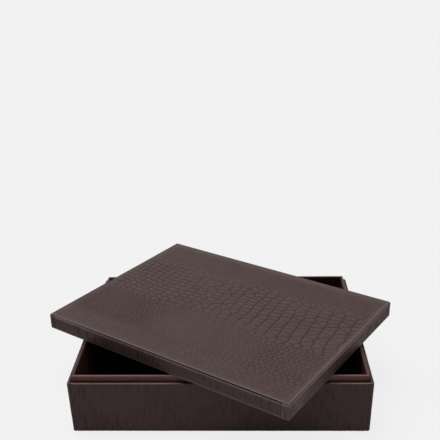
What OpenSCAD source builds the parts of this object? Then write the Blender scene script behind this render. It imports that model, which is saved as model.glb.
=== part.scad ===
// Stationery box for A4 paper: a leather-covered board box with a lift-off lid.
// The base has mitred board walls under crocodile-grain leather. A thinner leather-covered
// neck stands inside them and above their rim, and the lid's walls drop over that neck.
// Here the lid lies askew on top of the neck, as when it has just been taken off.
// Millimetres, +Z up. The origin is at the middle of the underside.

/* [Outside] */
// Width of the base and of the lid
box_w = 330; // [310:1:380]
// Depth of the base and of the lid
box_d = 248; // [230:1:300]
// Height of the base from the table to its rim
base_h = 64.6; // [50:0.1:110]
// Radius of the upright corners, over the leather
corner_r = 2.5; // [2:0.5:6]

/* [Cover leather] */
// Thickness of the cover leather
leather_t = 1; // [0.6:0.1:1.6]
// How far the base's end panels wrap round the corners on to its long sides
panel_wrap = 4.5; // [2:0.5:12]
// The same for the lid's end panels
lid_panel_wrap = 9; // [2:0.5:12]
// Open seam between two neighbouring panels
seam_gap = 0.3; // [0.1:0.1:0.6]
// Hairline left where an edge of leather or lining meets its neighbour
hairline = 0.2; // [0.1:0.1:0.5]
// Leather turned in under the base board
base_turn_in = 14; // [9:1:25]
// Radius of the folded leather edges, at the rim, the foot and round the lid
edge_r = 1; // [0.6:0.1:1.8]

/* [Base boards] */
// Thickness of the upright wall boards
wall_board_t = 3.8; // [3:0.1:6]
// Thickness of the base board
base_board_t = 3; // [2:0.1:6]
// Thickness of the underside pad, where it stands proud of the turned-in leather
pad_t = 0.6; // [0.4:0.1:2]
// Leather left bare round the underside pad
pad_inset = 4; // [2:0.5:8]

/* [Neck] */
// Height of the neck above the rim
neck_rise = 7; // [4:0.1:10]
// Thickness of the neck boards
neck_board_t = 2; // [1.5:0.1:3]
// Thickness of the smooth leather on the neck
neck_leather_t = 0.5; // [0.3:0.1:0.8]
// Neck leather tucked down behind the wall boards
neck_tuck = 16; // [8:1:30]
// Radius of the neck's outer corners
neck_corner_r = 1.5; // [1:0.1:2.5]
// Radius of the leather folded over the top of the neck
neck_edge_r = 0.8; // [0.4:0.1:1]

/* [Inside] */
// Thickness of the lined floor panel
floor_t = 2.5; // [1.5:0.1:5]
// Room round the floor panel
floor_gap = 0.3; // [0.2:0.1:1]

/* [Lid] */
// Height of the lid
lid_h = 18.6; // [17:0.1:30]
// Thickness of the lid's top board
lid_board_t = 3; // [2:0.1:4]
// Thickness of the lining on the lid's walls
lid_lining_t = 0.5; // [0.3:0.1:0.8]
// Thickness of the lining panel under the lid's top board
lid_top_lining_t = 1.5; // [0.8:0.1:2]
// Play between the lid's lining and the neck when the box is shut
lid_fit = 0.5; // [0.2:0.1:0.8]
// Thickness of the leather panel laid on the lid
top_panel_t = 0.9; // [0.6:0.1:1.5]
// Turned edge of the side leather left showing round that panel
top_panel_inset = 1.3; // [0.8:0.1:4]
// Radius of that panel's corners in plan
top_panel_corner_r = 1.5; // [1:0.5:6]
// Radius of that panel's top edge
top_panel_edge_r = 0.4; // [0.2:0.1:0.6]
// Side leather turned over on to the lid's top board
lid_turn_over = 12; // [8:1:20]

/* [Where the lid lies] */
// Turn of the lid on the neck, in degrees
lid_turn = -33.1; // [-40:0.1:40]
// Sideways shift of the lid
lid_shift_x = -0.9; // [-8:0.1:8]
// Forward or backward shift of the lid
lid_shift_y = -2.7; // [-8:0.1:8]
// Air between the neck and the lid that rests on it
lid_rest_gap = 0.1; // [0.05:0.05:0.3]

/* [Hidden] */
$fn = 48;

// Distances in from the outside of the base
board_in = leather_t;                        // cover leather to wall board
rim_in = board_in + wall_board_t;            // wall board to neck leather
neck_in = rim_in + neck_leather_t;           // neck leather to neck board
neck_lining_in = neck_in + neck_board_t;     // neck board to the leather inside it
well_in = neck_lining_in + neck_leather_t;   // that leather to the paper well

// Heights in the base
leather_z = pad_t;
board_z = leather_z + leather_t;
floor_z = board_z + base_board_t;
rim_z = base_h;
neck_z = rim_z + neck_rise;

// Distances in from the outside of the lid, worked back from the neck that it fits
lid_well_in = rim_in - lid_fit;
lid_lining_in = lid_well_in - lid_lining_t;

// Heights in the lid, from the bottom of its walls
lid_wall_z = leather_t;
lid_leather_top_z = lid_h - top_panel_t;
lid_board_top_z = lid_leather_top_z - leather_t;
lid_board_z = lid_board_top_z - lid_board_t;

cover_colour = [0.23, 0.17, 0.165];
neck_colour = [0.32, 0.17, 0.16];
board_colour = [0.62, 0.58, 0.52];
lining_colour = [0.12, 0.08, 0.075];

// Rectangle about the origin, with rounded corners where r is above 0
module soft_rectangle(w, h, r) {
    if (r > 0) {
        square([w - 2 * r, h], center = true);
        square([w, h - 2 * r], center = true);
        for (sx = [-1, 1], sy = [-1, 1])
            translate([sx * (w / 2 - r), sy * (h / 2 - r)]) circle(r);
    } else {
        square([w, h], center = true);
    }
}

// Plan outline of the box, moved in from its outside
module outline(inset, r = 0) {
    soft_rectangle(box_w - 2 * inset, box_d - 2 * inset, r);
}

// Block between two heights, with plan corners of radius r and its long edges rounded:
// two crossed extrusions of one rounded profile, and a turned post in each corner
module soft_block(inset, r, edge, bottom_z, top_z) {
    w = box_w - 2 * inset;
    d = box_d - 2 * inset;
    h = top_z - bottom_z;
    translate([0, 0, bottom_z + h / 2]) {
        rotate([90, 0, 0]) linear_extrude(d - 2 * r, center = true) soft_rectangle(w, h, edge);
        rotate([90, 0, 90]) linear_extrude(w - 2 * r, center = true) soft_rectangle(d, h, edge);
        for (sx = [-1, 1], sy = [-1, 1]) translate([sx * (w / 2 - r), sy * (d / 2 - r), 0])
            rotate_extrude() intersection() {
                soft_rectangle(2 * r, h, edge);
                translate([0, -h / 2]) square([r, h]);
            }
    }
}

// Turn that brings the front side round to a named side
function side_turn(side) = side == "front" ? 0 : side == "right" ? 90 : side == "back" ? 180 : 270;
// The front and the back are the long sides
function is_long(side) = side == "front" || side == "back";
// Length of a side
function side_length(side) = is_long(side) ? box_w : box_d;
// Size of the box across that side
function side_across(side) = is_long(side) ? box_d : box_w;

// Plan area of one side, cut at 45 degrees from the box's corners
module mitred(side) {
    half = side_length(side) / 2;
    deep = 2 * well_in;
    rotate(side_turn(side)) translate([0, -side_across(side) / 2])
        polygon([[-half, 0], [half, 0], [half - deep, deep], [deep - half, deep]]);
}

// Plan area of a front or back panel: its ends stop short of the corners and then run
// inwards at 45 degrees
module long_area(side, wrap, gap) {
    half = box_w / 2 - wrap - gap;
    deep = base_turn_in + lid_turn_over;
    rotate(side_turn(side)) translate([0, -box_d / 2])
        polygon([[-half, 0], [half, 0], [half, wrap], [half - deep, wrap + deep],
            [deep - half, wrap + deep], [-half, wrap]]);
}

// Plan area of any panel: the end panels take what the front and back panels leave
module panel_area(side, wrap) {
    if (is_long(side)) {
        long_area(side, wrap, seam_gap);
    } else {
        difference() {
            mirror([side == "left" ? 1 : 0, 0]) translate([0, -box_d / 2])
                square([box_w / 2, box_d]);
            long_area("front", wrap, 0);
            long_area("back", wrap, 0);
        }
    }
}

// One layer of a panel: the ring between the outside and an inset, on one side of the box
module panel_layer(side, wrap, inner_in, inner_r, height) {
    linear_extrude(height) intersection() {
        difference() {
            outline(0, corner_r);
            outline(inner_in, inner_r);
        }
        panel_area(side, wrap);
    }
}

// One panel of cover leather: an upright skin with a flange turned in at its foot and its top
module wrapped_panel(side, wrap, bottom_z, top_z, bottom_in, top_in, top_r) {
    color(cover_colour) intersection() {
        union() {
            translate([0, 0, bottom_z])
                panel_layer(side, wrap, board_in, corner_r - board_in, top_z - bottom_z);
            translate([0, 0, top_z - leather_t])
                panel_layer(side, wrap, top_in, top_r, leather_t);
            translate([0, 0, bottom_z]) panel_layer(side, wrap, bottom_in, 0, leather_t);
        }
        soft_block(0, corner_r, edge_r, bottom_z, top_z);
    }
}

// A mitred strip that runs along one side between two insets
module strip(side, outer_in, inner_in, outer_r, height) {
    linear_extrude(height) intersection() {
        difference() {
            outline(outer_in, outer_r);
            outline(inner_in);
        }
        mitred(side);
    }
}

module base_board() {
    color(board_colour) translate([0, 0, board_z])
        linear_extrude(base_board_t) outline(board_in, corner_r - board_in);
}

// Set in from the edge, with a filler that lies between the turned-in leathers
module underside_pad() {
    color(lining_colour) {
        linear_extrude(pad_t) outline(pad_inset, corner_r);
        translate([0, 0, leather_z]) linear_extrude(leather_t) outline(base_turn_in + seam_gap);
    }
}

module floor_panel() {
    color(lining_colour) translate([0, 0, floor_z])
        linear_extrude(floor_t) outline(well_in + floor_gap);
}

module wall_board(side) {
    color(board_colour) translate([0, 0, floor_z])
        strip(side, board_in, rim_in, corner_r - board_in, rim_z - leather_t - floor_z);
}

module side_panel(side) {
    wrapped_panel(side, panel_wrap, leather_z, rim_z, base_turn_in, rim_in - hairline,
        neck_corner_r + hairline);
}

module neck_board(side) {
    color(board_colour) translate([0, 0, floor_z])
        strip(side, neck_in, neck_lining_in, neck_corner_r - neck_leather_t,
            neck_z - neck_leather_t - floor_z);
}

// Section of the neck, rounded over at the top, carried along one side
module neck_form(side) {
    thick = well_in - rim_in;
    h = neck_z - floor_z + 2 * neck_edge_r;
    rotate(side_turn(side)) translate([0, rim_in + thick / 2 - side_across(side) / 2, neck_z - h / 2])
        rotate([90, 0, 90]) linear_extrude(side_length(side), center = true)
            soft_rectangle(thick, h, neck_edge_r);
}

// Wraps over the neck board: down to the floor inside, and a tuck behind the wall board outside
module neck_leather(side) {
    color(neck_colour) intersection() {
        union() {
            translate([0, 0, neck_z - neck_leather_t])
                strip(side, rim_in, well_in, neck_corner_r, neck_leather_t);
            translate([0, 0, floor_z]) strip(side, neck_lining_in, well_in, 0, neck_z - floor_z);
            translate([0, 0, rim_z - neck_tuck]) linear_extrude(neck_rise + neck_tuck)
                intersection() {
                    difference() {
                        outline(rim_in, neck_corner_r);
                        outline(neck_in, neck_corner_r - neck_leather_t);
                    }
                    mitred(side);
                }
        }
        neck_form(side);
    }
}

// Everything in the lid is drawn from the bottom of its walls and then laid on the neck
module on_neck() {
    translate([lid_shift_x, lid_shift_y, neck_z + lid_rest_gap]) rotate(lid_turn) children();
}

module lid_board() {
    color(board_colour) on_neck() translate([0, 0, lid_board_z])
        linear_extrude(lid_board_t) outline(board_in, corner_r - board_in);
}

// Laid over the turned edge of the side leather, with a filler between those edges
module lid_top_panel() {
    color(cover_colour) on_neck() {
        intersection() {
            translate([0, 0, lid_leather_top_z])
                linear_extrude(top_panel_t) outline(top_panel_inset);
            soft_block(top_panel_inset, top_panel_corner_r, top_panel_edge_r,
                lid_leather_top_z - 2 * top_panel_edge_r, lid_h);
        }
        translate([0, 0, lid_board_top_z])
            linear_extrude(leather_t) outline(lid_turn_over + seam_gap);
    }
}

module lid_top_lining() {
    color(lining_colour) on_neck() translate([0, 0, lid_board_z - lid_top_lining_t])
        linear_extrude(lid_top_lining_t) outline(lid_well_in + hairline);
}

module lid_wall_board(side) {
    color(board_colour) on_neck() translate([0, 0, lid_wall_z])
        strip(side, board_in, lid_lining_in, corner_r - board_in, lid_board_z - lid_wall_z);
}

module lid_side_panel(side) {
    on_neck() wrapped_panel(side, lid_panel_wrap, 0, lid_leather_top_z, lid_well_in,
        lid_turn_over, 0);
}

module lid_wall_lining(side) {
    color(lining_colour) on_neck() translate([0, 0, lid_wall_z])
        strip(side, lid_lining_in, lid_well_in, 0, lid_board_z - lid_wall_z);
}

base_board();
underside_pad();
floor_panel();
wall_board("front");  // wall_board_front
wall_board("right");  // wall_board_right
wall_board("back");  // wall_board_back
wall_board("left");  // wall_board_left
side_panel("front");  // side_panel_front
side_panel("right");  // side_panel_right
side_panel("back");  // side_panel_back
side_panel("left");  // side_panel_left
neck_board("front");  // neck_board_front
neck_board("right");  // neck_board_right
neck_board("back");  // neck_board_back
neck_board("left");  // neck_board_left
neck_leather("front");  // neck_leather_front
neck_leather("right");  // neck_leather_right
neck_leather("back");  // neck_leather_back
neck_leather("left");  // neck_leather_left
lid_board();
lid_top_panel();
lid_top_lining();
lid_wall_board("front");  // lid_wall_board_front
lid_wall_board("right");  // lid_wall_board_right
lid_wall_board("back");  // lid_wall_board_back
lid_wall_board("left");  // lid_wall_board_left
lid_side_panel("front");  // lid_side_panel_front
lid_side_panel("right");  // lid_side_panel_right
lid_side_panel("back");  // lid_side_panel_back
lid_side_panel("left");  // lid_side_panel_left
lid_wall_lining("front");  // lid_wall_lining_front
lid_wall_lining("right");  // lid_wall_lining_right
lid_wall_lining("back");  // lid_wall_lining_back
lid_wall_lining("left");  // lid_wall_lining_left
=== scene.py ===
# %% [markdown]
# # A stationery box covered in embossed leather
#
# The real object is a shallow box for A4 papers. Grey boards give it its shape, dark brown
# leather embossed with a crocodile grain covers it, and a smooth oxblood leather neck stands
# inside its walls. The lid drops over that neck. Here it lies askew on top of it.
#
# The boards are already modelled at their real size, and this script dresses them. It loads
# that model, makes each leather and lining as a thin closed sheet that lies where the modelled
# one lies, and gives each a finish. All lengths below are in millimetres until a mesh is made.

# %% Load the modelled box
import math

import bpy
import numpy as np
from mathutils import Matrix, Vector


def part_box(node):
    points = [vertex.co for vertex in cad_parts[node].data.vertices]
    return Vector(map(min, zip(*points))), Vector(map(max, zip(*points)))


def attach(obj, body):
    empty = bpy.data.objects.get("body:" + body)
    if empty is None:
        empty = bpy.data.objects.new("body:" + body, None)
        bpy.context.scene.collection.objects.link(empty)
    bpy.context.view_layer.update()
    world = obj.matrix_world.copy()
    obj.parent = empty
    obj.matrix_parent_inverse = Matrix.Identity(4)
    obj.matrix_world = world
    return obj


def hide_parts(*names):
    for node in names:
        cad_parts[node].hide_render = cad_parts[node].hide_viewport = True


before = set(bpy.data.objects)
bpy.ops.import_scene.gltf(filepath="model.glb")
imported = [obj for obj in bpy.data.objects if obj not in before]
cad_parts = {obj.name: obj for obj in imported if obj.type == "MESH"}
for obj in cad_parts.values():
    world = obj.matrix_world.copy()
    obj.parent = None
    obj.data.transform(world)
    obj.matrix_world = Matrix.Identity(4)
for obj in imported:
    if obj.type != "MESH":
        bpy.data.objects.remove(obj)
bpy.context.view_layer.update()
MM = 0.001
print("pieces of the modelled box:", len(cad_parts))

# %% [markdown]
# ## The camera and the light
#
# A camera can be placed by eye, or worked out from straight edges whose directions are known.
# The second way was used here: a pinhole camera was fitted to the edges of the box. The picture
# is a cut of a larger one, so the lens points below its middle, and a lens shift says by how
# much.

# %% Camera
# The fit is in pixels, the camera's place in millimetres and its angles in radians.
PICTURE_PX = 440
FOCAL_PX = 699.84
CENTRE_PX = (230.24, 299.58)
SENSOR_MM = 36.0
CAMERA_PLACE = (28.57, -738.09, 499.79)
PITCH = 0.49630
YAW = -0.02581
ROLL = -0.01595

forward = np.array([
    math.sin(YAW) * math.cos(PITCH), math.cos(YAW) * math.cos(PITCH), -math.sin(PITCH)
])
level = np.array([math.cos(YAW), -math.sin(YAW), 0.0])
down = np.cross(forward, level)
right = math.cos(ROLL) * level - math.sin(ROLL) * down
down = math.sin(ROLL) * level + math.cos(ROLL) * down
camera_axes = np.stack([right, -down, -forward], axis=1)

camera_data = bpy.data.cameras.new("camera")
camera_data.sensor_width = SENSOR_MM
camera_data.lens = FOCAL_PX * SENSOR_MM / PICTURE_PX
camera_data.shift_x = (PICTURE_PX / 2 - CENTRE_PX[0]) / PICTURE_PX
camera_data.shift_y = (CENTRE_PX[1] - PICTURE_PX / 2) / PICTURE_PX
camera_data.clip_start = 0.01
camera_data.clip_end = 200
camera = bpy.data.objects.new("camera", camera_data)
camera.matrix_world = (
    Matrix.Translation([MM * c for c in CAMERA_PLACE]) @ Matrix(camera_axes.tolist()).to_4x4()
)
bpy.context.scene.collection.objects.link(camera)
bpy.context.scene.camera = camera
print("lens:", round(camera_data.lens, 2), "mm, looking down", round(math.degrees(PITCH), 1))

# %% [markdown]
# A product studio wraps the object in soft white light that comes mostly from above. Area lamps
# would do, but their light changes with the distance. Two suns as wide as a softbox give it
# here, so that the top of the lid is lighter than its sides, and a weak sky of one colour fills
# the shadows. Seen directly or in a gloss, the sky has the plain colour of the backdrop.

# %% Sky
BACKDROP = 0.8796
SKY_LIGHT = 0.11


def grey(level):
    """A colour with the same red, green and blue."""
    return (level, level, level, 1)


def add_node(tree, kind, **values):
    """A shader node with some of its inputs or properties set by name."""
    made = tree.nodes.new(kind)
    for key, value in values.items():
        socket = key.replace("_", " ")
        if socket in made.inputs:
            made.inputs[socket].default_value = value
        else:
            setattr(made, key, value)
    return made


def seen_directly(tree):
    """1 where a ray comes from the camera, a gloss or a glass, and 0 where it lights a surface."""
    path = add_node(tree, "ShaderNodeLightPath")
    total = path.outputs["Is Camera Ray"]
    for name in ("Is Glossy Ray", "Is Transmission Ray"):
        larger = add_node(tree, "ShaderNodeMath", operation="MAXIMUM")
        tree.links.new(total, larger.inputs[0])
        tree.links.new(path.outputs[name], larger.inputs[1])
        total = larger.outputs[0]
    return total


def show_mix(tree, share, first, second, output_kind):
    """Shows two shaders mixed: the first where the share is 0, the second where it is 1."""
    mixed = add_node(tree, "ShaderNodeMixShader")
    output = add_node(tree, output_kind)
    tree.links.new(share, mixed.inputs[0])
    tree.links.new(first.outputs[0], mixed.inputs[1])
    tree.links.new(second.outputs[0], mixed.inputs[2])
    tree.links.new(mixed.outputs[0], output.inputs["Surface"])


world = bpy.data.worlds.new("sky")
bpy.context.scene.world = world
world.use_nodes = True
sky = world.node_tree
sky.nodes.clear()
light = add_node(sky, "ShaderNodeBackground", Color=grey(1), Strength=SKY_LIGHT)
seen = add_node(sky, "ShaderNodeBackground", Color=grey(BACKDROP), Strength=1)
show_mix(sky, seen_directly(sky), light, seen, "ShaderNodeOutputWorld")
print("the sky lights with", SKY_LIGHT, "and is seen as", BACKDROP)

# %% Lamps


def soft_lamp(name, strength, width, azimuth, height):
    """A wide sun. Its azimuth goes round from the front towards the right, and its height is
    above the floor. Both are in degrees, as its width is."""
    data = bpy.data.lights.new(name, "SUN")
    data.energy = strength
    data.angle = math.radians(width)
    lamp = bpy.data.objects.new(name, data)
    lamp.rotation_euler = (math.radians(90 - height), 0, math.radians(azimuth))
    bpy.context.scene.collection.objects.link(lamp)
    print(name, "stands at", azimuth, "degrees,", height, "degrees high")


soft_lamp("softbox_above", strength=1.2, width=40, azimuth=0, height=90)
soft_lamp("softbox_left", strength=1.8, width=40, azimuth=240, height=62)
# Colours are shown as they were worked out, with no film curve.
bpy.context.scene.view_settings.view_transform = "Standard"

# %% [markdown]
# The floor is pale paper. Lit paper alone would show a wide shadow that the picture hardly has.
# So where the floor is seen directly, most of it glows in the colour of the backdrop, and the
# small share that is lit paper keeps a faint shadow.

# %% Floor
FLOOR_COLOUR = 0.88
FLOOR_GLOW = 0.885
GLOW_SHARE = 0.92
# In metres: the width of the floor, and its height, just under the box.
FLOOR_SIZE = 60.0
FLOOR_Z = -0.0001

floor_mesh = bpy.data.meshes.new("floor")
floor_mesh.from_pydata(
    [(x, y, FLOOR_Z) for x, y in ((-1, -1), (1, -1), (1, 1), (-1, 1))], [], [(0, 1, 2, 3)]
)
floor_mesh.transform(Matrix.Diagonal((FLOOR_SIZE / 2, FLOOR_SIZE / 2, 1, 1)))
floor = bpy.data.objects.new("floor", floor_mesh)
bpy.context.scene.collection.objects.link(floor)

paper = bpy.data.materials.new("floor_paper")
paper.use_nodes = True
tree = paper.node_tree
tree.nodes.clear()
lit = add_node(tree, "ShaderNodeBsdfDiffuse", Color=grey(FLOOR_COLOUR))
plain = add_node(tree, "ShaderNodeEmission", Color=grey(FLOOR_GLOW), Strength=1)
share = add_node(tree, "ShaderNodeMath", operation="MULTIPLY")
share.inputs[1].default_value = GLOW_SHARE
tree.links.new(seen_directly(tree), share.inputs[0])
show_mix(tree, share.outputs[0], lit, plain, "ShaderNodeOutputMaterial")
floor_mesh.materials.append(paper)
print("the floor is", FLOOR_SIZE, "m wide")

# %% [markdown]
# ## Measuring the box
#
# The leathers have to lie exactly where the modelled ones lie, so their sizes are read from the
# modelled pieces. Heights are above the floor, those of the lid's own parts above its lower
# edge, and an inset is a distance in from the outside of the box.

# %% Sizes read from the modelled box


def spans(*names):
    """Lowest and highest corner of some modelled pieces together, in millimetres."""
    corners = np.array([[list(c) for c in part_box(name)] for name in names]) / MM
    return corners[:, 0].min(axis=0), corners[:, 1].max(axis=0)


SIDES = ("front", "right", "back", "left")
base_low, base_high = spans(*["side_panel_" + side for side in SIDES])
neck_low, neck_high = spans(*["neck_leather_" + side for side in SIDES])
lid_low, lid_high = spans(*["lid_side_panel_" + side for side in SIDES])
HALF_W = base_high[0]
HALF_D = base_high[1]
FOOT_Z = base_low[2]
RIM_Z = base_high[2]
NECK_Z = neck_high[2]
RIM_IN = HALF_W - neck_high[0]
WELL_FLOOR_Z = neck_low[2]
FLOOR_PANEL = spans("floor_panel")
PAD = spans("underside_pad")

LID_TURN = math.radians(-33.1)
LID_Z = lid_low[2]
LID_CENTRE = (lid_low + lid_high) / 2
LID_SIDE_H = lid_high[2] - LID_Z
LID_H = spans("lid_top_panel")[1][2] - LID_Z
LID_LINING_Z = spans("lid_top_lining")[0][2] - LID_Z

# A box round a piece doesn't show these. Thicknesses of the leathers and linings:
LEATHER = 1.0
NECK_LEATHER = 0.5
LID_LINING = 0.5
LID_TOP_LINING = 1.5
# Rounding of upright corners and of folded edges:
CORNER_R = 2.5
EDGE_R = 1.0
NECK_CORNER_R = 1.5
NECK_EDGE_R = 0.8
TOP_PANEL_CORNER_R = 1.5
TOP_PANEL_EDGE_R = 0.4
# How far a leather goes on past a fold, or round a corner:
FOOT_TURN_IN = 14.0
NECK_TUCK = 16.0
LID_TURN_OVER = 12.0
PANEL_WRAP = 4.5
LID_PANEL_WRAP = 9.0
# Insets of the two wells and of the panel on the lid, and gaps between leathers:
WELL_IN = 7.8
LID_WELL_IN = 4.3
TOP_PANEL_IN = 1.3
SEAM = 0.3
HAIRLINE = 0.2
print("base: width, depth, rim, neck", np.round([2 * HALF_W, 2 * HALF_D, RIM_Z, NECK_Z], 1))
print("lid: lower edge, height, middle", np.round([LID_Z, LID_H, *LID_CENTRE[:2]], 1))

# %% [markdown]
# ## A sheet that is folded round a board
#
# Each leather starts at an edge out of sight, runs over one or two folds and ends at another
# edge out of sight. Cut across, it is a path of straight runs that turn at right angles, with
# every turn rounded. Blender could bevel a bent plane to get it. Worked out with numpy, the
# same path also gives each point its direction outwards and its distance along the leather,
# which the embossing and the wear need later.

# %% A folded path
# Steps round a turn, how far its wear and painted highlight reach on to the flat, and the
# range of upward facing over which they grow.
TURN_STEPS = 5
FOLD_FADE = 0.8
LIT_RANGE = 0.6


def between(x, low, high):
    """0 below low, 1 above high, and a smooth S between them."""
    t = np.clip((np.asarray(x, float) - low) / (high - low), 0, 1)
    return t * t * (3 - 2 * t)


def folded_path(corners, turn_r, steps, lit_from=0.4, least_wear_and_light=0.0):
    """A path through right-angled corners given as (inset, height), each corner rounded to
    turn_r.

    A straight run is corner + (next corner - corner) * t, for t from 0 to 1, less turn_r at
    each rounded end. A turn is centre + turn_r * (n1 cos a + n2 sin a), for a from 0 to 90
    degrees, where n1 and n2 are the outward directions of the runs that it joins. The outward
    direction is the path's own, turned by 90 degrees. Run i has a point about every steps[i].

    Returns insets, heights, the outward direction as (across, up), the distance along the
    path, and how near each point is to a turn: exp(-distance / FOLD_FADE). A turn gets wear
    and a painted highlight where it faces up by more than lit_from, and least_wear_and_light
    elsewhere."""
    corners = np.array(corners, float)
    runs = np.diff(corners, axis=0)
    lengths = np.linalg.norm(runs, axis=1)
    ahead = runs / lengths[:, None]
    out = np.stack([-ahead[:, 1], ahead[:, 0]], axis=1)
    last = len(runs) - 1
    places, facing, folded = [], [], []
    for i, step in enumerate(steps):
        start = turn_r if i > 0 else 0.0
        end = lengths[i] - (turn_r if i < last else 0.0)
        reach = np.linspace(start, end, max(2, int(round((end - start) / step)) + 1))
        places.append(corners[i] + reach[:, None] * ahead[i])
        facing.append(np.repeat(out[i][None], len(reach), axis=0))
        to_turn = np.full(len(reach), np.inf)
        if i > 0:
            to_turn = np.minimum(to_turn, reach - start)
        if i < last:
            to_turn = np.minimum(to_turn, end - reach)
        folded.append(np.exp(-to_turn / FOLD_FADE))
        if i < last:
            angle = np.linspace(0, np.pi / 2, TURN_STEPS + 1)[1:-1, None]
            direction = np.cos(angle) * out[i] + np.sin(angle) * out[i + 1]
            middle = corners[i + 1] - turn_r * (ahead[i] + out[i])
            places.append(middle + turn_r * direction)
            facing.append(direction)
            folded.append(np.ones(len(angle)))
    places = np.concatenate(places)
    along = np.concatenate([[0], np.cumsum(np.linalg.norm(np.diff(places, axis=0), axis=1))])
    facing = np.concatenate(facing)
    folded = np.concatenate(folded)
    # Wear and a painted highlight: a turn is lighter the more it faces up.
    wear_and_light = least_wear_and_light + (1 - least_wear_and_light) * between(facing[:, 1], lit_from, lit_from + LIT_RANGE)
    return {
        "inset": places[:, 0],
        "z": places[:, 1],
        "out": facing,
        "along": along,
        "fold": folded,
        "worn_and_lit": folded * wear_and_light,
    }


base_path = folded_path(
    [(FOOT_TURN_IN, FOOT_Z), (0, FOOT_Z), (0, RIM_Z), (RIM_IN - HAIRLINE, RIM_Z)],
    turn_r=EDGE_R,
    steps=[2.4, 0.9, 0.4],
)
print("points across a side panel of the base:", len(base_path["along"]))

# %% [markdown]
# ## Round the box
#
# A panel follows the box round, so the folded path is carried along its outline, a rectangle
# with rounded corners. A point there is found by walking a distance from the middle of one
# side: straight on, round the corner, and on along the next side.
#
# The end panels wrap round the corners on to the long sides, where a seam runs up. On the flat
# flanges above and below, the seam runs inwards at 45 degrees.

# %% Walking round the outline


def walk(distance, inset, radius, half, across):
    """Points on a rounded rectangle, by the distance walked from the middle of one side.

    Up to the corner x is the distance itself. Round the corner, x = start + r sin a and
    y = -(across - inset - r) - r cos a, with a = distance round / r. After it, y grows with the
    rest of the distance. Returns x, y and the outward direction there."""
    reach = np.abs(distance)
    straight = half - inset - radius
    turn = np.clip((reach - straight) / np.maximum(radius, 1e-9), 0, np.pi / 2)
    rest = np.maximum(reach - straight - radius * np.pi / 2, 0)
    x = np.minimum(reach, straight) + radius * np.sin(turn)
    y = -(across - inset - radius) - radius * np.cos(turn) + rest
    side = np.sign(distance)
    return side * x, y, side * np.sin(turn), -np.cos(turn)


past_corner = walk(HALF_W, 0.0, CORNER_R, HALF_W, HALF_D)
print("a walk as long as half the width ends at", [round(float(v), 2) for v in past_corner[:2]])

# %% Where a panel ends


def seam_turn(inset, radius, wrap):
    """How far round its corner, from the long side, the seam crosses the outline.

    The seam stands wrap from the end of the box, where the outline's distance from that end is
    inset + r - r sin a, until it meets the 45 degree line."""
    sine = 1 - (wrap - inset) / np.maximum(radius, 1e-9)
    return np.minimum(np.arcsin(np.clip(sine, 0, 1)), np.pi / 4)


def wrapped_end(wrap):
    """How far from the middle of its side a cover panel ends, where the end panels wrap round
    the corners by this much."""

    def end(side, inset, radius):
        turn = seam_turn(inset, radius, wrap)
        if side in ("front", "back"):
            before = np.minimum(HALF_W - wrap, HALF_W - inset - radius)
            return before + radius * turn - SEAM
        past = np.maximum(wrap - inset - radius, 0)
        return HALF_D - inset - radius + radius * (np.pi / 2 - turn) + past

    return end


def mitred_end(side, inset, radius):
    """The same for a strip that is cut at 45 degrees at both ends."""
    half = HALF_W if side in ("front", "back") else HALF_D
    return half - inset - radius + radius * np.pi / 4


front_end = wrapped_end(PANEL_WRAP)("front", 0.0, CORNER_R)
print("the front panel is", round(2 * float(front_end), 2), "wide")

# %% A folded sheet along one side
END_SHARE = 2.5
END_COLUMNS = 16
END_EASE = 1.2
# Width of the wear and painted highlight on each upright corner.
CORNER_HIGHLIGHT_WIDTH = 1.5


def sheet_on_side(side, path, radius, end_at, step):
    """Walks the path of a folded sheet along one side of the box.

    Columns are shared out evenly along the straight part, and END_COLUMNS of them over the rest
    of each end, which is at least END_SHARE long, closer towards the seam. So a column on the
    wall stays upright. Returns points, outward directions, the lengths along the side and
    across it, how near a fold is, the distance to the seam, and how near the corner is:
    exp(-(d / CORNER_HIGHLIGHT_WIDTH)^2). All are arrays with one row per point of the path."""
    half, across = (HALF_W, HALF_D) if side in ("front", "back") else (HALF_D, HALF_W)
    inset = path["inset"][:, None]
    radius = radius[:, None]
    end = end_at(side, inset, radius)
    corner = np.minimum(half - inset - radius, end - END_SHARE)
    count = int(round(2 * corner.max() / step))
    ease = 1 - (1 - np.linspace(0, 1, END_COLUMNS + 1)) ** END_EASE
    share = np.concatenate([-1 - ease[:0:-1], np.linspace(-1, 1, count + 1), 1 + ease[1:]])[None]
    past = np.maximum(np.abs(share) - 1, 0)
    distance = np.sign(share) * (np.minimum(np.abs(share), 1) * corner + past * (end - corner))
    x, y, out_x, out_y = walk(distance, inset, radius, half, across)
    z = np.broadcast_to(path["z"][:, None], x.shape)
    across_out = -path["out"][:, 0][:, None]
    up_out = path["out"][:, 1][:, None]
    points = np.stack([x, y, z], axis=-1)
    out = np.stack([across_out * out_x, across_out * out_y, up_out + 0 * x], axis=-1)
    quarter = SIDES.index(side)
    cos, sin = round(math.cos(quarter * math.pi / 2)), round(math.sin(quarter * math.pi / 2))
    turn = np.array([[cos, sin, 0], [-sin, cos, 0], [0, 0, 1]], float)
    to_corner = np.abs(distance) - half + inset + radius * (1 - np.pi / 4)
    return {
        "points": points @ turn,
        "out": out @ turn,
        "along": distance,
        "across": np.broadcast_to(path["along"][:, None], x.shape),
        "fold": np.broadcast_to(path["fold"][:, None], x.shape),
        "worn_and_lit": np.broadcast_to(path["worn_and_lit"][:, None], x.shape),
        "to_seam": end - np.abs(distance),
        "corner": np.exp(-((to_corner / CORNER_HIGHLIGHT_WIDTH) ** 2)),
    }


# %% [markdown]
# ## From grids to meshes
#
# A sheet is two grids of points, its face and its back, joined along the four cut edges, so it
# is a closed solid. Solidify would thicken a grid too, but here the back stays smooth on its
# board while the face is pressed in. All faces point outwards.

# %% Faces between the points


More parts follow.
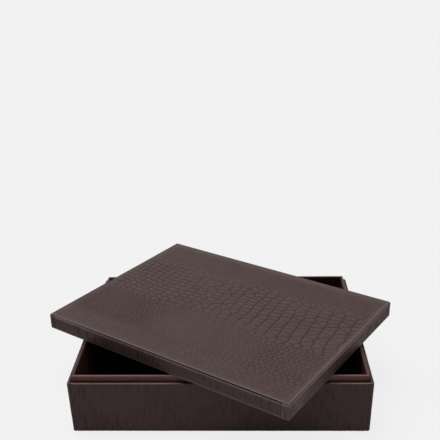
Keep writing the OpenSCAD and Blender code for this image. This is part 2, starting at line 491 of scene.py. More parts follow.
def grid_faces(number):
    """Four-cornered faces of a grid of point numbers, anticlockwise as seen from outside."""
    corners = [number[:-1, :-1], number[:-1, 1:], number[1:, 1:], number[1:, :-1]]
    return np.stack(corners, axis=-1).reshape(-1, 4)


def grid_border(number):
    """The point numbers round the edge of a grid, in the same sense as its faces."""
    return np.concatenate([number[0, :-1], number[:-1, -1], number[-1, :0:-1], number[:0:-1, 0]])


def edge_faces(inner, outer):
    """A band of faces between two closed loops of point numbers."""
    return np.stack([np.roll(inner, -1), inner, outer, np.roll(outer, -1)], axis=-1)


def closed_sheet(face, back):
    """Points and faces of the solid between two grids of the same size."""
    count = face.shape[0] * face.shape[1]
    number = np.arange(count).reshape(face.shape[:2])
    border = grid_border(number)
    skin = grid_faces(number)
    faces = np.concatenate([skin, skin[:, ::-1] + count, edge_faces(border, border + count)])
    return np.concatenate([face.reshape(-1, 3), back.reshape(-1, 3)]), faces


small = np.zeros((3, 3, 3))
print("a sheet of 3 by 3 points has", len(closed_sheet(small, small)[1]), "faces")

# %% A piece in its place
SHARP_ANGLE = math.radians(62)
# The finishes made below, each under the name of its slot.
finishes = {}


def lid_place(points):
    """Turns points drawn in the lid's own frame and lays them on the neck."""
    cos, sin = math.cos(LID_TURN), math.sin(LID_TURN)
    turn = np.array([[cos, sin, 0], [-sin, cos, 0], [0, 0, 1]])
    return points @ turn + np.array([LID_CENTRE[0], LID_CENTRE[1], LID_Z])


def add_piece(name, points, faces, body, slot, node, measures=None):
    """Makes a mesh object in place, gives it the finish of its slot, ties it to its body, and
    hides the modelled piece that it stands for."""
    mesh = bpy.data.meshes.new(name)
    mesh.from_pydata((points * MM).tolist(), [], faces)
    for key, values in (measures or {}).items():
        attribute = mesh.attributes.new(key, "FLOAT", "POINT")
        attribute.data.foreach_set("value", values.astype(np.float32))
    mesh.shade_smooth()
    mesh.set_sharp_from_angle(angle=SHARP_ANGLE)
    mesh.materials.append(finishes[slot])
    piece = bpy.data.objects.new(name, mesh)
    bpy.context.scene.collection.objects.link(piece)
    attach(piece, body)
    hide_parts(node)
    print(name, "has", len(mesh.polygons), "faces and rides on the", body)


def leather_piece(name, sheet, thick, lift, measures, body, slot, node):
    """A closed sheet: lift moves its face outwards, or presses it in where it is below 0, and
    its back lies on the board."""
    face = sheet["points"] + sheet["out"] * lift[..., None]
    back = sheet["points"] - sheet["out"] * thick
    if body == "lid":
        face, back = lid_place(face), lid_place(back)
    points, faces = closed_sheet(face, back)
    plain = {key: np.concatenate([v.ravel(), 0 * v.ravel()]) for key, v in measures.items()}
    add_piece(name, points, faces.tolist(), body, slot, node, plain)


# %% [markdown]
# ## The embossed grain
#
# A heated plate presses the pattern of a crocodile's belly into the leather: bands of large
# squarish scales in straight columns, and beside them small round ones. Each scale is the set
# of points nearest to its own centre, and the grooves are where two scales meet. Blender's
# Voronoi texture does the same, but all its scales have one size. Here the centres are laid
# row by row, so that their size and order can change across the hide.

# %% Where the scales lie
SPARE_COLUMNS = 4
SPARE_HEIGHT = 6
MOST_COLUMNS = 400


def scale_centres(width, height, rows, seed):
    """Centres of the scales, row by row from the bottom.

    rows(y) gives the pitch along the row, the pitch to the next row, how freely the scales lie,
    how far each column is shifted along itself, and whether the columns line up from row to
    row. Elsewhere each row is shifted by half a scale."""
    rng = np.random.default_rng(seed)
    lean = rng.uniform(-0.5, 0.5, MOST_COLUMNS)
    found = []
    y = -height / 2 - SPARE_HEIGHT
    row = 0
    while y < height / 2 + SPARE_HEIGHT:
        pitch, rise, free, shift, ordered = rows(y)
        count = int(width / pitch) + SPARE_COLUMNS
        column = np.arange(count) - count // 2
        offset = 0 if ordered else 0.5 * (row % 2) + rng.uniform(-0.15, 0.15)
        x = (column + offset) * pitch
        loose = free(x)
        step = rng.uniform(-1, 1, (2, count)) * loose
        moved = lean[column + MOST_COLUMNS // 2] * shift(x)
        found.append(np.stack([x + step[0] * pitch, y + (step[1] + moved) * rise], axis=1))
        y += rise
        row += 1
    return np.concatenate(found)


def bend_hide(centres, amount, length, seed):
    """Slow waves that bend the columns: two sines of different length in each direction."""
    rng = np.random.default_rng(seed)
    phase = rng.uniform(0, 2 * np.pi, 4)
    x, y = centres.T
    wave = 2 * np.pi / length
    bent_x = np.sin(wave * y + 0.4 * wave * x + phase[0]) + 0.5 * np.sin(2.3 * wave * y + phase[1])
    bent_y = np.sin(wave * x + phase[2]) + 0.5 * np.sin(1.9 * wave * x + wave * y + phase[3])
    return centres + amount * np.stack([bent_x, bent_y], axis=1)


# %% Grooves between the scales
AT_A_TIME = 2500
REACH = 32


def to_groove(x, y, centres, squeeze):
    """Distance from each point to the nearest groove, how upright that groove stands (0 to 1),
    and the number of the point's scale.

    With D1 and Dj the squared distances to the nearest centre and to another one, the groove
    between them lies (Dj - D1) / (2 * distance between the centres) away, and the smallest of
    these counts. Heights are squeezed before measuring, so scales come out taller than wide.
    Points are taken AT_A_TIME, in order of height, with the centres within REACH of them."""
    points = np.stack([x.ravel(), y.ravel()], axis=1).astype(np.float32)
    distance = np.empty(len(points), np.float32)
    upright = np.empty(len(points), np.float32)
    owner = np.empty(len(points), np.int64)
    order = np.argsort(points[:, 1], kind="stable")
    for part in np.array_split(order, max(1, len(order) // AT_A_TIME)):
        px, py = points[part].T
        reach = REACH + (py.max() - py.min()) / 2
        near = np.flatnonzero(np.abs(centres[:, 1] - py.mean()) < reach)
        cx, cy = centres[near].astype(np.float32).T
        square = (px[:, None] - cx) ** 2 + squeeze**2 * (py[:, None] - cy) ** 2
        nearest = square.argmin(axis=1)
        least = square[np.arange(len(part)), nearest]
        apart = np.hypot(cx[:, None] - cx, squeeze**2 * (cy[:, None] - cy))
        np.fill_diagonal(apart, np.inf)
        gap = (square - least[:, None]) / (2 * apart[nearest])
        gap[np.arange(len(part)), nearest] = np.inf
        beside = gap.argmin(axis=1)
        distance[part] = gap[np.arange(len(part)), beside]
        upright[part] = np.abs(cx[nearest] - cx[beside]) / apart[nearest, beside]
        owner[part] = near[nearest]
    return distance.reshape(x.shape), upright.reshape(x.shape), owner.reshape(x.shape)


def press(x, y, centres, squeeze, width, depth, dome, shoulder, seed, favour):
    """The pressed surface: a bell-shaped groove and a scale that is slightly domed.

    height = share * (-depth * exp(-(d / width)^2) - dome * exp(-d / shoulder)), with d the
    distance to the groove. The share is 1 where favour is 0. Above 0 it is less by favour in
    level grooves, and below 0 it is less by -favour in upright ones. Also returns the groove's
    strength and a tone of its own for each scale."""
    distance, upright, owner = to_groove(x, y, centres, squeeze)
    share = 1 - np.maximum(favour, 0) * (1 - upright) - np.maximum(-favour, 0) * upright
    groove = share * np.exp(-((distance / width) ** 2))
    height = -depth * groove - share * dome * np.exp(-distance / shoulder)
    tone = np.random.default_rng(seed).uniform(-1, 1, len(centres))[owner]
    return height, groove, tone


# %% [markdown]
# ## The finishes
#
# Colour and gloss could be painted on each piece. Here noise gives their small changes, and the
# meshes carry what depends on their shape, such as grooves and folds, as attributes that the
# shader reads. So colour and relief stay in step. What is too small for the mesh is a bump.

# %% Material helpers


def new_finish(slot):
    """Makes the material of a slot. Returns its node tree and its main shader."""
    material = bpy.data.materials.new(slot)
    material.use_nodes = True
    finishes[slot] = material
    return material.node_tree, material.node_tree.nodes["Principled BSDF"]


def object_noise(tree, scale, detail, roughness=0.55):
    """Noise fixed to the object, with features about 1 / scale metres across."""
    place = add_node(tree, "ShaderNodeTexCoord")
    noise = add_node(tree, "ShaderNodeTexNoise", Scale=scale, Detail=detail, Roughness=roughness)
    tree.links.new(place.outputs["Object"], noise.inputs["Vector"])
    return noise.outputs["Fac"]


def measure(tree, name):
    """A number that the mesh carries at each point."""
    return add_node(tree, "ShaderNodeAttribute", attribute_name=name).outputs["Fac"]


def spread(tree, value, low, high, new_low=0.0, new_high=1.0):
    """Maps low..high to new_low..new_high."""
    ranged = add_node(tree, "ShaderNodeMapRange")
    for index, number in enumerate((low, high, new_low, new_high), start=1):
        ranged.inputs[index].default_value = number
    tree.links.new(value, ranged.inputs[0])
    return ranged.outputs[0]


def blend(tree, factor, first, second):
    """Mixes two colours, each given as three numbers or as a node's output."""
    mix = add_node(tree, "ShaderNodeMix", data_type="RGBA")
    tree.links.new(factor, mix.inputs["Factor"])
    for socket, colour in ((mix.inputs[6], first), (mix.inputs[7], second)):
        if isinstance(colour, tuple):
            socket.default_value = (*colour, 1)
        else:
            tree.links.new(colour, socket)
    return mix.outputs[2]


def add_up(tree, first, second, weight):
    """first + weight * second."""
    total = add_node(tree, "ShaderNodeMath", operation="MULTIPLY_ADD")
    total.inputs[1].default_value = weight
    tree.links.new(second, total.inputs[0])
    tree.links.new(first, total.inputs[2])
    return total.outputs[0]


def bump(tree, shader, height, distance):
    """Raises the surface by height * distance metres, for shading only."""
    made = add_node(tree, "ShaderNodeBump", Strength=1, Distance=distance)
    tree.links.new(height, made.inputs["Height"])
    tree.links.new(made.outputs[0], shader.inputs["Normal"])


# %% [markdown]
# The embossed leather is dark brown. Its grooves are darker and duller than the crowns of the
# scales: the darkness is partly the leather's own and partly painted shade. Its folds are lighter
# with wear and a painted highlight, and its cut edges are nearly black. The same near black is
# painted as shade beside the neck, on the turn under the foot and round the panel on the lid.

# %% Embossed cover leather
COVER_DARK = (0.051, 0.0288, 0.0268)
COVER_LIGHT = (0.069, 0.0415, 0.0385)
COVER_GROOVE = (0.018, 0.0095, 0.0085)
COVER_WEAR_AND_HIGHLIGHT = (0.180, 0.142, 0.136)
COVER_CUT_EDGE_AND_SHADE = (0.008, 0.005, 0.004)

tree, shader = new_finish("cover_leather")
cloud = object_noise(tree, scale=28, detail=4)
shade = add_up(tree, spread(tree, cloud, 0.3, 0.7, 0.25, 0.75), measure(tree, "tone"), 0.22)
colour = blend(tree, shade, COVER_DARK, COVER_LIGHT)
# Painted shade in the grooves, on top of the leather's own darker colour there.
colour = blend(tree, spread(tree, measure(tree, "groove"), 0.05, 1.0, 0, 0.66), colour, COVER_GROOVE)
# Wear and a painted highlight on the folds, corners, edges and crowns.
colour = blend(tree, spread(tree, measure(tree, "fold"), 0, 1, 0, 0.8), colour, COVER_WEAR_AND_HIGHLIGHT)
# Near black on cut edges, and painted shade beside the neck, on the foot and round the lid's panel.
colour = blend(tree, measure(tree, "cut"), colour, COVER_CUT_EDGE_AND_SHADE)
tree.links.new(colour, shader.inputs["Base Color"])
grain = object_noise(tree, scale=900, detail=5, roughness=0.6)
dull = add_up(tree, spread(tree, grain, 0.3, 0.7, 0.48, 0.58), measure(tree, "groove"), 0.2)
dull = add_up(tree, dull, measure(tree, "cut"), 0.5)
tree.links.new(dull, shader.inputs["Roughness"])
shader.inputs["Specular IOR Level"].default_value = 0.10
bump(tree, shader, grain, distance=0.00012)

# %% [markdown]
# The neck's leather is smooth and the colour of oxblood. Its top is greyer with wear and a
# painted highlight. Painted shade darkens the top on the sides that get less light, and the inside.

# %% Smooth neck leather
NECK_DARK = (0.098, 0.0320, 0.0255)
NECK_LIGHT = (0.126, 0.0430, 0.0350)
NECK_WEAR_AND_HIGHLIGHT = (0.118, 0.078, 0.074)
NECK_PAINTED_SHADE = (0.016, 0.007, 0.006)

tree, shader = new_finish("neck_leather")
cloud = object_noise(tree, scale=60, detail=4)
colour = blend(tree, spread(tree, cloud, 0.3, 0.7), NECK_DARK, NECK_LIGHT)
# Wear and a painted highlight on the top of the neck.
colour = blend(tree, measure(tree, "fold"), colour, NECK_WEAR_AND_HIGHLIGHT)
# Painted shade.
colour = blend(tree, measure(tree, "shade"), colour, NECK_PAINTED_SHADE)
tree.links.new(colour, shader.inputs["Base Color"])
grain = object_noise(tree, scale=1300, detail=4, roughness=0.6)
tree.links.new(spread(tree, grain, 0.3, 0.7, 0.40, 0.50), shader.inputs["Roughness"])
shader.inputs["Specular IOR Level"].default_value = 0.2
bump(tree, shader, grain, distance=0.00005)

# %% [markdown]
# Suede and felt have a short pile, which is dull and looks paler where it is brushed. Hairs
# would be too fine to see, so noise at two scales and a little sheen stand for the pile. Grey
# board is pressed fibre, and the same noise in its own colours suits it.

# %% Suede lining, felt and grey board


def cloth_like(slot, dark, pale, coarse, fine, sheen, height):
    """A dull, short pile: cloudy where it has been brushed, and finely speckled."""
    tree, shader = new_finish(slot)
    brushed = object_noise(tree, coarse, 3)
    pile = object_noise(tree, fine, 4, 0.7)
    level = add_up(tree, spread(tree, brushed, 0.3, 0.7, 0, 0.7), pile, 0.4)
    tree.links.new(blend(tree, level, dark, pale), shader.inputs["Base Color"])
    tree.links.new(spread(tree, pile, 0.3, 0.7, 0.85, 1.0), shader.inputs["Roughness"])
    shader.inputs["Specular IOR Level"].default_value = 0.1
    shader.inputs["Sheen Weight"].default_value = sheen
    shader.inputs["Sheen Roughness"].default_value = 0.6
    bump(tree, shader, pile, height)


cloth_like("lining_suede", dark=(0.012, 0.007, 0.006), pale=(0.026, 0.016, 0.014),
           coarse=45, fine=1400, sheen=0.05, height=0.0002)
cloth_like("underside_felt", dark=(0.012, 0.010, 0.010), pale=(0.028, 0.023, 0.022),
           coarse=70, fine=900, sheen=0.05, height=0.0003)
cloth_like("greyboard", dark=(0.24, 0.21, 0.17), pale=(0.34, 0.30, 0.25),
           coarse=90, fine=1800, sheen=0.0, height=0.0001)
print("finishes:", list(finishes))

# %% [markdown]
# ## The cover of the base
#
# Four panels of the embossed leather. The plate left hardly any scales on them, only short
# creases that stand upright and come in patches. Worked out along the leather, they turn with
# it round the corners, which a pattern laid on from one side wouldn't do. Each crease has its
# own column, so a point only has to look at the creases of three columns.

# %% Creases
MOST_CREASES = 300


def creases(x, y, pitch, width, seed):
    """How deep a point lies in an upright crease, from 0 to 1.

    Column k's crease stands at x = pitch * (k + 1/2 + jitter) and is exp(-(d / width)^2) wide,
    with d the distance to it. Slow waves bend it, and it shows where sin(y / length + start) is
    high, so that it is broken into short pieces. Jitter, length and start are each column's own."""
    rng = np.random.default_rng(seed)
    jitter = rng.uniform(-0.32, 0.32, MOST_CREASES)
    length = rng.uniform(3.5, 9.0, MOST_CREASES)
    start = rng.uniform(0, 2 * np.pi, MOST_CREASES)
    bent = x + 1.5 * np.sin(y / 11 + x / 29 + seed) + 0.5 * np.sin(y / 4 + x / 13)
    column = np.floor(bent / pitch).astype(int)
    deepest = 0 * x
    for k in (column - 1, column, column + 1):
        away = bent - pitch * (k + 0.5 + jitter[k])
        shown = between(np.sin(y / length[k] + start[k]), -0.7, 0.7)
        deepest = np.maximum(deepest, shown * np.exp(-((away / width) ** 2)))
    return deepest


def emboss_sheet(sheet, pitch, width, depth, seed, strength):
    """Presses creases into a sheet, in patches and less deep towards its seams and folds.

    At a seam the edge is pared thin: it sinks by 0.25 * (1 - s)^2, where s goes from 0 at the
    seam to 1 a little way from it. Beside that the leather is lighter in a narrow line."""
    x, y, to_seam = sheet["along"], sheet["across"], sheet["to_seam"]
    patches = np.sin(x / 21 + 1.3 * np.sin(y / 17) + seed) * np.sin(y / 12 + x / 40)
    worn = 0.3 + 0.7 * between(patches, -0.6, 0.4)
    keep = worn * (1 - 0.6 * sheet["fold"]) * between(to_seam, 0.0, 2.0)
    groove = keep * creases(x, y, pitch, width, seed)
    pared = 0.25 * (1 - between(to_seam, 0.0, 0.8)) ** 2
    beside_seam = 0.12 * (1 - between(np.abs(to_seam - 1), 0, 1))
    measures = {
        "groove": groove * strength,
        "tone": 0.5 * np.sin(x / 5.7 + y / 31 + seed) * np.sin(x / 8.3 - y / 23),
        # Wear and a painted highlight on the folds and corners, and a lighter line beside each seam.
        "fold": np.maximum(sheet["worn_and_lit"], np.maximum(beside_seam, 0.4 * sheet["corner"])),
        "cut": 1.1 * pared,
    }
    return -depth * groove - pared, measures


samples = np.arange(0, 20, 2.0)
print("creases met in 20 mm:", np.round(creases(samples, 0 * samples, 3.9, 0.9, 60), 1))

# %% The four panels
# How much wear and painted light each side gets: its folds are lighter by it, and the top of
# the neck is darker with painted shade where it is low.
SIDE_WEAR_AND_LIGHT = {"front": 1.0, "right": 0.3, "back": 0.3, "left": 0.0}
# The share of a corner's radius that is left where the leather ends inside.
LEAST_RADIUS = 0.02
# How far the leather sinks where it meets the neck, and how dark the painted shade on its turn under
# the foot is.
RIM_SINK = 0.5
FOOT_PAINTED_SHADE = 0.3

inwards = np.clip(base_path["inset"] / (RIM_IN - HAIRLINE), 0, 1)
rim_radius = CORNER_R + (NECK_CORNER_R + HAIRLINE - CORNER_R) * inwards
foot_radius = CORNER_R * np.clip(1 - base_path["inset"] / FOOT_TURN_IN, LEAST_RADIUS, 1)
foot_part = base_path["z"] < FOOT_Z + EDGE_R
base_radius = np.where(foot_part, foot_radius, rim_radius)
on_rim = base_path["z"] > RIM_Z - 0.1
rim_end = np.where(on_rim, between(base_path["inset"], RIM_IN - 2.4, RIM_IN - 1.0), 0)
for number, side in enumerate(SIDES):
    sheet = sheet_on_side(side, base_path, base_radius, wrapped_end(PANEL_WRAP), step=0.9)
    lift, measures = emboss_sheet(
        sheet, pitch=3.9, width=0.9, depth=0.50, seed=60 + number, strength=0.7
    )
    lift = lift - RIM_SINK * rim_end[:, None]
    measures["fold"] = measures["fold"] * SIDE_WEAR_AND_LIGHT[side]
    # Painted shade: the leather beside the neck and on its turn under the foot is coloured near
    # black.
    dark = np.maximum(rim_end, FOOT_PAINTED_SHADE * foot_part)
    measures["cut"] = np.maximum(measures["cut"], dark[:, None])
    leather_piece("cover_" + side, sheet, LEATHER, lift, measures, "base",
                  "cover_leather", "side_panel_" + side)

# %% [markdown]
# ## The neck
#
# Smooth oxblood leather, thinner than the cover, folded over the neck boards. It goes down to
# the floor inside, and behind the walls outside. It is the same kind of folded sheet with other
# sizes, cut at 45 degrees at its corners, so the same functions make it.

# %% Neck leathers
neck_path = folded_path(
    [(RIM_IN, RIM_Z - NECK_TUCK), (RIM_IN, NECK_Z), (WELL_IN, NECK_Z), (WELL_IN, WELL_FLOOR_Z)],
    turn_r=NECK_EDGE_R,
    steps=[1.6, 0.7, 2.4],
)
# The further in, the sharper the corner.
neck_radius = NECK_CORNER_R - 0.4 * (neck_path["inset"] - RIM_IN)
neck_top = between(neck_path["out"][:, 1], 0.3, 0.95)
neck_inside = between(neck_path["out"][:, 0], 0.3, 0.9)
# How much painted shade darkens the inside of each side.
NECK_SHADE = {"front": 0.3, "right": 0.6, "back": 0.75, "left": 0.2}
for side in SIDES:
    sheet = sheet_on_side(side, neck_path, neck_radius, mitred_end, step=2.2)
    ripple = 0.03 * np.sin(sheet["along"] / 11) * np.sin(sheet["along"] / 4.3 + 1) - 0.03
    pared = 0.12 * (1 - between(sheet["to_seam"], 0.0, 0.5)) ** 2
    lift = ripple - pared
    # Painted shade on the inside, and on the top of the less lit sides.
    shade = np.maximum(NECK_SHADE[side] * neck_inside, 0.8 * (1 - SIDE_WEAR_AND_LIGHT[side]) * neck_top)
    measures = {"fold": neck_top[:, None] + 0 * lift, "shade": shade[:, None] + 0 * lift}
    leather_piece("neck_" + side, sheet, NECK_LEATHER, lift, measures, "base",
                  "neck_leather", "neck_leather_" + side)

# %% [markdown]
# ## Flat panels
#
# The panel on the lid, the linings and the pad are plates with rounded corners. A grid covers a
# rectangle, but its corners have to be bent on to a quarter circle. The map that does it,
# x sqrt(1 - y^2 / 2) and y sqrt(1 - x^2 / 2), turns a square into a disc, and only the four
# corner squares need it.

# %% Plates


def grid_line(half, radius, step):
    """Positions along one direction: evenly over the middle, and again over each corner."""
    corner_steps = max(2, int(round(radius / step)))
    inner = half - radius
    corner = np.linspace(inner, half, corner_steps + 1)
    middle = np.linspace(-inner, inner, int(round(2 * inner / step)) + 1)
    return np.concatenate([-corner[:0:-1], middle, corner[1:]])


def rounded_grid(half_x, half_y, radius, x, y):
    """Bends the corner squares of a grid on to quarter discs. Also gives the direction
    outwards, which is right for points on the edge."""
    p = np.clip((np.abs(x) - (half_x - radius)) / radius, 0, 1)
    q = np.clip((np.abs(y) - (half_y - radius)) / radius, 0, 1)
    disc_x = p * np.sqrt(1 - q**2 / 2)
    disc_y = q * np.sqrt(1 - p**2 / 2)
    bent_x = np.where(p > 0, np.sign(x) * (half_x - radius + radius * disc_x), x)
    bent_y = np.where(q > 0, np.sign(y) * (half_y - radius + radius * disc_y), y)
    return bent_x, bent_y, np.sign(x) * disc_x, np.sign(y) * disc_y


def plate(half_x, half_y, radius, step, edge_r, face_z, back_steps, lift_of=None):
    """A plate with a gridded face, a rounded edge and a stepped back.

    The face lies at face_z, and lift_of(x, y) moves it outwards, or in where it is below 0. Its
    edge turns down over a quarter circle of edge_r, and back_steps gives (inset, z) of the
    loops that follow. A loop that lies further in than the corner's radius is a smaller copy of
    the edge. The last loop is closed by one face. Returns points, faces and the face's own x
    and y."""
    up = 1 if face_z > back_steps[-1][1] else -1
    x, y = np.meshgrid(grid_line(half_x - edge_r, radius - edge_r, step),
                       grid_line(half_y - edge_r, radius - edge_r, step))
    x, y, out_x, out_y = rounded_grid(half_x - edge_r, half_y - edge_r, radius - edge_r, x, y)
    lift = 0 * x if lift_of is None else lift_of(x, y)
    points = [np.stack([x, y, face_z + up * lift], axis=-1).reshape(-1, 3)]
    number = np.arange(x.size).reshape(x.shape)
    faces = [grid_faces(number)]
    border = grid_border(number)
    edge = points[0][border]
    out = np.stack([out_x.ravel()[border], out_y.ravel()[border]], axis=1)
    loops = [
        (edge_r * math.sin(a), face_z - up * edge_r * (1 - math.cos(a)))
        for a in np.linspace(0, math.pi / 2, 4)[1:]
    ]
    loops += [(edge_r - inset, z) for inset, z in back_steps]
    inner = border
    total = x.size
    for offset, z in loops:
        places = edge.copy()
        if offset >= -(radius - edge_r):
            places[:, :2] += offset * out
        else:
            scale_x = (half_x - edge_r + offset) / (half_x - edge_r)
            scale_y = (half_y - edge_r + offset) / (half_y - edge_r)
            places[:, :2] = edge[:, :2] * np.array([scale_x, scale_y])
        places[:, 2] = z
        points.append(places)
        outer = np.arange(total, total + len(border))
        faces.append(edge_faces(inner, outer))
        inner = outer
        total += len(border)
    faces = np.concatenate(faces)
    last = inner[::-1]
    if up < 0:
        faces = faces[:, ::-1]
        last = inner
    return np.concatenate(points), faces.tolist() + [last.tolist()], x, y


# %% [markdown]
# The panel on the lid shows the belly of the hide. A band of large scales lies across it, in
# regular columns at the left and taller ones at the right. Small round scales fill the flank in
# front of it and grow fainter towards the front edge. A bump could only shade them, so they
# are pressed into the mesh.

# %% Rows of scales on the lid
# Pitches along a row and up to the next one, at some distances of a row from the lid's middle.
ROW_AT = (-124, -98, -82, -34, -24, 64, 76, 124)
PITCH_THERE = (7.0, 6.6, 5.6, 5.4, 12.4, 12.4, 6.5, 6.0)
RISE_THERE = (6.0, 5.6, 4.9, 4.8, 8.3, 8.3, 5.6, 5.4)
BELLY_PITCH = 12


def belly_rows(y):
    """How the scales lie in a row, by its distance y from the middle of the lid."""
    pitch = np.interp(y, ROW_AT, PITCH_THERE)
    rise = np.interp(y, ROW_AT, RISE_THERE)
    belly = pitch > BELLY_PITCH

    def free(x):
        middle = np.exp(-(((x + 12) / 30) ** 2))
        return 0.11 + 0.17 * middle if belly else 0.26 + 0 * x

    def shift(x):
        return (0.15 + 0.75 * between(x, 0, 60)) if belly else 0 * x

    return pitch, rise, free, shift, belly


def stretch_hide(centres):
    """The columns stand closer at the left and wider at the right, where they also lean."""
    x, y = centres.T
    lean = -0.17 * (y - 15) * between(x, 10, 110)
    return np.stack([x + 0.0007 * x**2 + lean, y], axis=1)


lid_centres = scale_centres(width=370, height=270, rows=belly_rows, seed=7)
lid_centres = bend_hide(stretch_hide(lid_centres), amount=2.0, length=150, seed=8)
print("scales on the lid:", len(lid_centres))

# %% How deep the plate pressed


def lid_margin(x, y):
    """Distance in from the nearer of the front and right edges of the panel, and from the
    nearer of its back and left ones."""
    half_x, half_y = HALF_W - TOP_PANEL_IN, HALF_D - TOP_PANEL_IN
    return np.minimum(half_x - x, half_y + y), np.minimum(half_x + x, half_y - y)


def patch(x, y, centre, half):
    """A spot with soft edges, from 0 to 1: exp(-(dx / half width)^4 - (dy / half depth)^4)."""
    return np.exp(-(((x - centre[0]) / half[0]) ** 4) - ((y - centre[1]) / half[1]) ** 4)


def groove_strength(x, y):
    """How deep the plate pressed: the product of what the faint places leave. They are the
    middle of the flank, a part of the belly, the back, the front, the edges and the right."""
    flank = patch(x, y, centre=(20, -56), half=(70, 38))
    middle = patch(x, y, centre=(-2, 20), half=(34, 50))
    back = between(y, 56, 74) * (1 - 0.25 * between(x, 25, 80))
    front = (1 - between(y, -100, -84)) * (0.8 - 0.1 * between(x, 40, 110))
    uneven = 0.85 + 0.15 * np.sin(x / 23 + 1) * np.sin(y / 31)
    uneven = uneven + between(-y, 25, 40) * (0.2 * between(-x, 40, 100) - 0.12)
    edge = 0.25 + 0.75 * between(np.minimum(*lid_margin(x, y)), 0.5, 6)
    faint = (1 - 0.8 * flank) * (1 - 0.35 * middle) * (1 - 0.75 * back) * (1 - front)
    right = (1 - 0.1 * between(x, 30, 150)) * (1 - 0.2 * between(x, 20, 60) * between(y, 15, 45))
    return uneven * edge * faint * right


samples = np.array([-120.0, -60.0, 0.0, 60.0, 120.0])
print("pressed along the middle:", np.round(groove_strength(samples, 0 * samples), 2))

# %% Panel on the lid
# How dark the painted shade of the line round the panel is along the right side, and inside the two
# far edges.
LINE_AT_RIGHT = 0.3
FAR_LINE = 0.4


def line_depth(x):
    """How dark the painted shade of the line round the panel is, by the distance from the lid's
    middle to the right: it is faint near the left end."""
    return 0.35 + 0.65 * between(x, -150, -70)


lid_press = {}


def lid_lift(x, y):
    """Presses the panel, and keeps the measures for the finish in lid_press.

    Scales of the belly have deeper, broader shoulders and darker grooves than the flank's. Its
    level grooves are faint at the right, in front, and its upright ones at the left. A painted
    highlight lies along the near edges in a narrow band and along the far ones in a wide, weaker
    one, with a little on the crowns of the scales, more on the belly and towards the front."""
    belly = between(y, -34, -20) * (1 - between(y, 66, 80))
    strength = groove_strength(x, y)
    fewer_level = 0.5 * between(x, 0, 60) * (1 - between(y, 8, 34))
    fewer_upright = 0.35 * between(-x, 0, 50)
    height, groove, tone = press(
        x, y, lid_centres, squeeze=0.8, width=0.75, depth=0.26, dome=0.70 + 0.30 * belly,
        shoulder=1.2 + 0.9 * belly, seed=9, favour=belly * (fewer_level - fewer_upright),
    )
    lid_press["groove"] = groove * strength * (1 + 0.5 * belly)
    lid_press["tone"] = tone
    # Painted highlight along the edges of the panel.
    near, far = lid_margin(x, y)
    near = np.maximum(near - TOP_PANEL_EDGE_R, 0)
    edge = 0.75 * np.exp(-near / 0.9) + 0.25 * np.exp(-((near / 7) ** 2))
    edge = np.maximum(edge, 0.36 * np.exp(-((far / 9) ** 2)) * between(far, 0.8, 2.0))
    # Painted highlight on the crowns of the scales.
    crown = 0.04 + 0.10 * belly + 0.11 * between(-y, 20, 34)
    lid_press["fold"] = np.maximum(edge, crown * (1 - groove))
    # Painted shade in a line just inside the far edges.
    lid_press["cut"] = FAR_LINE * (1 - between(far, 0.4, 1.8))
    return height * strength


under_turn = LID_TURN_OVER - TOP_PANEL_IN + SEAM
points, faces, x, y = plate(
    HALF_W - TOP_PANEL_IN, HALF_D - TOP_PANEL_IN, TOP_PANEL_CORNER_R,
    step=0.95, edge_r=TOP_PANEL_EDGE_R, face_z=LID_H,
    back_steps=[(0, LID_SIDE_H), (under_turn, LID_SIDE_H), (under_turn, LID_SIDE_H - LEATHER)],
    lift_of=lid_lift,
)
rest = len(points) - x.size
lid_measures = {key: np.concatenate([v.ravel(), np.zeros(rest)]) for key, v in lid_press.items()}
border = 2 * (x.shape[0] + x.shape[1]) - 4
first_loop = slice(x.size, x.size + border)
near, far = lid_margin(*points[first_loop, :2].T)
# The panel's rounded edge: painted highlight along the near sides, painted shade along the far ones.
lid_measures["fold"][first_loop] = near < far
lid_measures["cut"][first_loop] = FAR_LINE * (near >= far)
# The panel's cut edge: dark edge and painted shade.
edge_x = points[x.size + border:, 0]
at_right = edge_x > HALF_W - TOP_PANEL_IN - TOP_PANEL_CORNER_R
lid_measures["cut"][x.size + border:] = np.where(at_right, LINE_AT_RIGHT, line_depth(edge_x))
add_piece("lid_panel", lid_place(points), faces, "lid", "cover_leather", "lid_top_panel",
          lid_measures)

# %% [markdown]
# The lid's sides are cut from the same leather as the base's. Their panels end under the panel
# on the lid, and where they go under it, a dark line of painted shade shows. The right one has a
# painted highlight that grows towards the front.

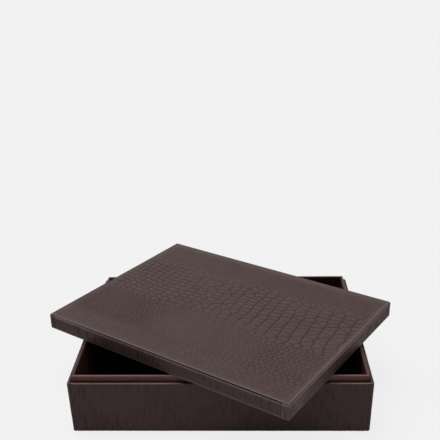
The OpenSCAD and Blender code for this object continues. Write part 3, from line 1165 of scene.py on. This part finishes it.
# %% Side panels of the lid
lid_path = folded_path(
    [(LID_WELL_IN, 0), (0, 0), (0, LID_SIDE_H), (LID_TURN_OVER, LID_SIDE_H)],
    turn_r=EDGE_R,
    steps=[0.9, 0.85, 0.6],
    lit_from=-0.35,
    least_wear_and_light=0.12,
)
turned_in = np.where(lid_path["z"] < EDGE_R, LID_WELL_IN, LID_TURN_OVER)
lid_radius = CORNER_R * np.clip(1 - lid_path["inset"] / turned_in, LEAST_RADIUS, 1)
on_top = lid_path["z"] > LID_SIDE_H - EDGE_R
under_panel = np.where(on_top, between(lid_path["inset"], 0.15, 0.5), 0)
for number, side in enumerate(SIDES):
    sheet = sheet_on_side(side, lid_path, lid_radius, wrapped_end(LID_PANEL_WRAP), step=0.9)
    lift, measures = emboss_sheet(
        sheet, pitch=4.2, width=1.0, depth=0.55, seed=90 + number, strength=0.8
    )
    # The leather is flat from 1 mm behind the panel's edge on, where it is out of sight.
    hidden = sheet["across"] > lid_path["along"][-1] - (LID_TURN_OVER - TOP_PANEL_IN - 1)
    lift = np.where(hidden, 0, lift)
    # Painted shade where the side leather goes under the panel.
    line = LINE_AT_RIGHT if side == "right" else line_depth(sheet["points"][..., 0])
    measures["cut"] = np.maximum(measures["cut"], line * under_panel[:, None])
    # The painted highlight on the folds is weaker on the back and the left.
    if side in ("back", "left"):
        measures["fold"] = 0.2 * measures["fold"]
    if side == "right":
        # Painted highlight that grows towards the front.
        front_highlight = 0.3 * between(-sheet["along"], 20, 110) * (1 - measures["groove"])
        measures["fold"] = np.maximum(measures["fold"], front_highlight)
    leather_piece("lid_side_" + side, sheet, LEATHER, lift, measures, "lid",
                  "cover_leather", "lid_side_panel_" + side)

# %% [markdown]
# ## Linings
#
# Brown suede cloth lines the well and the lid. It is brushed, so its surface wavers slightly.
# A felt pad on the underside keeps the leather off the table. A cloth simulation would show
# nothing more here, because each lies flat on its board, so they are plates and strips.

# %% Floor of the well, linings of the lid, pad
CLOTH_STEP = 3.0


def pile_lift(x, y):
    """Low waves of a cloth laid on board."""
    return -0.05 * (1 + np.sin(x / 17 + 0.6 * np.sin(y / 23)) * np.sin(y / 19))


low, high = FLOOR_PANEL
points, faces, _, _ = plate(
    high[0], high[1], radius=1.0, step=CLOTH_STEP, edge_r=0.6,
    face_z=high[2], back_steps=[(0, low[2])], lift_of=pile_lift,
)
add_piece("well_floor", points, faces, "base", "lining_suede", "floor_panel")

lining_in = LID_WELL_IN + HAIRLINE
lining_top = LID_LINING_Z + LID_TOP_LINING
points, faces, _, _ = plate(
    HALF_W - lining_in, HALF_D - lining_in, radius=1.0, step=CLOTH_STEP, edge_r=0.5,
    face_z=LID_LINING_Z, back_steps=[(0, lining_top)], lift_of=pile_lift,
)
add_piece("lid_lining", lid_place(points), faces, "lid", "lining_suede", "lid_top_lining")

low, high = PAD
pad_edge = FOOT_TURN_IN + SEAM - (HALF_W - high[0])
points, faces, _, _ = plate(
    high[0], high[1], radius=CORNER_R, step=CLOTH_STEP, edge_r=0.3,
    face_z=low[2], back_steps=[(0, FOOT_Z), (pad_edge, FOOT_Z), (pad_edge, high[2])],
)
add_piece("pad", points, faces, "base", "underside_felt", "underside_pad")

strip_path = folded_path(
    [(LID_WELL_IN, lining_top), (LID_WELL_IN, LEATHER)], turn_r=0.0, steps=[1.5]
)
NEARLY_SHARP = 0.01
strip_radius = np.full(len(strip_path["z"]), NEARLY_SHARP)
for side in SIDES:
    sheet = sheet_on_side(side, strip_path, strip_radius, mitred_end, CLOTH_STEP)
    leather_piece("lid_strip_" + side, sheet, LID_LINING, 0 * sheet["along"], {}, "lid",
                  "lining_suede", "lid_wall_lining_" + side)

# %% [markdown]
# ## The boards
#
# The grey boards are straight and flat, and the modelled ones are right as they are. Only
# their finish is missing.

# %% Boards
for name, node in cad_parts.items():
    if "board" in name:
        node.data.materials.clear()
        node.data.materials.append(finishes["greyboard"])
print("boards:", sum("board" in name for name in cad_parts))
